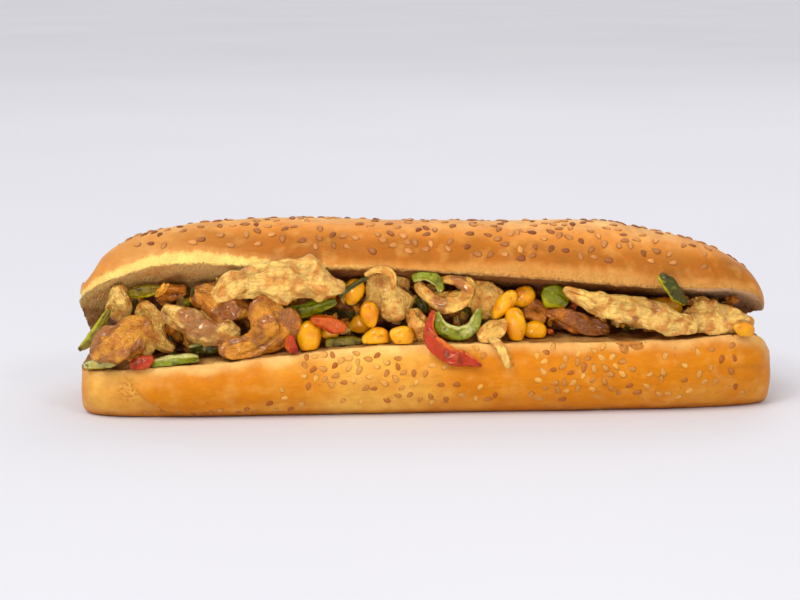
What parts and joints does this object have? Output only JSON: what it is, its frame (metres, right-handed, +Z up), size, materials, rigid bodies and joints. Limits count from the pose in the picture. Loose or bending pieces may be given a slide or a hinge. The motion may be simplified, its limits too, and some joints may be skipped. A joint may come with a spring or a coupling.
{
  "type": "submarine sandwich",
  "caption": "Long sesame roll cut open along its front and filled with grilled chicken strips, sweetcorn and green and red pepper.",
  "frame": {"origin": "centre of the flat underside on which the sandwich rests", "axes": "+X along the roll, to the right as the open mouth is seen; +Y from the mouth to the hinge; +Z up"},
  "size_m": [0.2402, 0.0768, 0.0659],
  "materials": {
    "bread_crust": "baked golden-brown crust with sesame seeds",
    "sauced_filling": "dark glazed filling, damp",
    "grilled_chicken": "grilled meat with a thin sauce",
    "sweetcorn": "glossy yellow kernel",
    "green_pepper_skin": "glossy cooked skin",
    "red_pepper_skin": "glossy cooked skin"
  },
  "bodies": {
    "root": {"chicken_centre_chunk": "grilled_chicken", "chicken_crumbly": "grilled_chicken", "chicken_crumbs_left": "grilled_chicken", "chicken_curl": "grilled_chicken", "chicken_flap": "grilled_chicken", "chicken_glazed_right": "grilled_chicken", "chicken_knobs": "grilled_chicken", "chicken_long_strip": "grilled_chicken", "chicken_pale_flat": "grilled_chicken", "chicken_pale_strand": "grilled_chicken", "chicken_seared": "grilled_chicken", "chicken_shredded_right": "grilled_chicken", "chicken_slab": "grilled_chicken", "chicken_small_centre": "grilled_chicken", "chicken_strand": "grilled_chicken", "chicken_strip_centre": "grilled_chicken", "chicken_strip_left": "grilled_chicken", "chicken_thin_right": "grilled_chicken", "chicken_top_piece": "grilled_chicken", "chicken_upright": "grilled_chicken", "chicken_upright_fold": "grilled_chicken", "corn_01": "sweetcorn", "corn_02": "sweetcorn", "corn_03": "sweetcorn", "corn_04": "sweetcorn", "corn_05": "sweetcorn", "corn_06": "sweetcorn", "corn_07": "sweetcorn", "corn_08": "sweetcorn", "corn_09": "sweetcorn", "corn_10": "sweetcorn", "corn_11": "sweetcorn", "corn_12": "sweetcorn", "corn_13": "sweetcorn", "corn_14": "sweetcorn", "filling_bed": "sauced_filling", "green_pepper_arched": "green_pepper_skin", "green_pepper_bright_right": "green_pepper_skin", "green_pepper_charred": "green_pepper_skin", "green_pepper_curved": "green_pepper_skin", "green_pepper_dark_centre": "green_pepper_skin", "green_pepper_dark_left": "green_pepper_skin", "green_pepper_dark_right": "green_pepper_skin", "green_pepper_left_tip": "green_pepper_skin", "green_pepper_low_left": "green_pepper_skin", "green_pepper_lying_left": "green_pepper_skin", "green_pepper_over_lip": "green_pepper_skin", "green_pepper_pale_left": "green_pepper_skin", "green_pepper_thin_strand": "green_pepper_skin", "green_pepper_under_centre": "green_pepper_skin", "red_pepper_dice_left": "red_pepper_skin", "red_pepper_glazed": "red_pepper_skin", "red_pepper_over_edge": "red_pepper_skin", "red_pepper_sliver": "red_pepper_skin", "roll": "bread_crust"}
  },
  "joints": []
}
